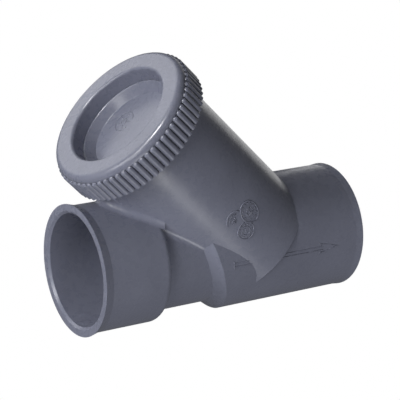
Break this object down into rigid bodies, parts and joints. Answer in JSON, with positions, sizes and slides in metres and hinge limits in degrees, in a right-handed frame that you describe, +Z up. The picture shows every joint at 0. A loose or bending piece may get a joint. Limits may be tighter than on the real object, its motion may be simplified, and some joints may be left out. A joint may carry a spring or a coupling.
{
  "type": "swing check valve",
  "caption": "Y-shaped solvent-weld PVC swing check valve with two pipe sockets, a hinged flap on a tilted seat and a ribbed, dished screw cap on its inspection branch.",
  "frame": {"origin": "on the run's axis, at the pipe stop at the bottom of the inlet socket", "axes": "+X along the run in the direction of flow, +Z up, with the branch leaning back over the inlet in the XZ plane"},
  "size_m": [0.1368, 0.0714, 0.1203],
  "materials": {
    "pvc_grey": "satin moulded",
    "rubber_black": "matte",
    "stainless": "satin"
  },
  "bodies": {
    "valve_body": {"housing": "pvc_grey", "hinge_pin": "stainless", "hinge_keepers": "pvc_grey", "keeper_screws": "stainless"},
    "flap_body": {"flap": "pvc_grey", "flap_seal": "rubber_black", "seal_retainer": "pvc_grey", "retainer_screw": "stainless", "retainer_washer": "stainless", "retainer_nut": "stainless"},
    "gasket_body": {"cap_gasket": "rubber_black"},
    "cap_body": {"screw_cap": "pvc_grey"}
  },
  "joints": [
    {"name": "flap_swing", "type": "hinge", "parent": "valve_body", "child": "flap_body", "pos_m": [0.02274, 0, 0.02809], "axis": [0, -1, 0], "range_deg": [0, 58]},
    {"name": "cap_rise", "type": "slide", "parent": "valve_body", "child": "gasket_body", "axis": [-0.7071, 0, 0.7071], "range_m": [0, 0.015]},
    {"name": "cap_turn", "type": "hinge", "parent": "gasket_body", "child": "cap_body", "pos_m": [0.0584, 0, 0], "axis": [-0.7071, 0, 0.7071], "range_deg": [0, 1080]}
  ],
  "couplings": [
    {"joint": "cap_turn", "follows": "cap_rise", "rad_per_m": 1256.6}
  ]
}
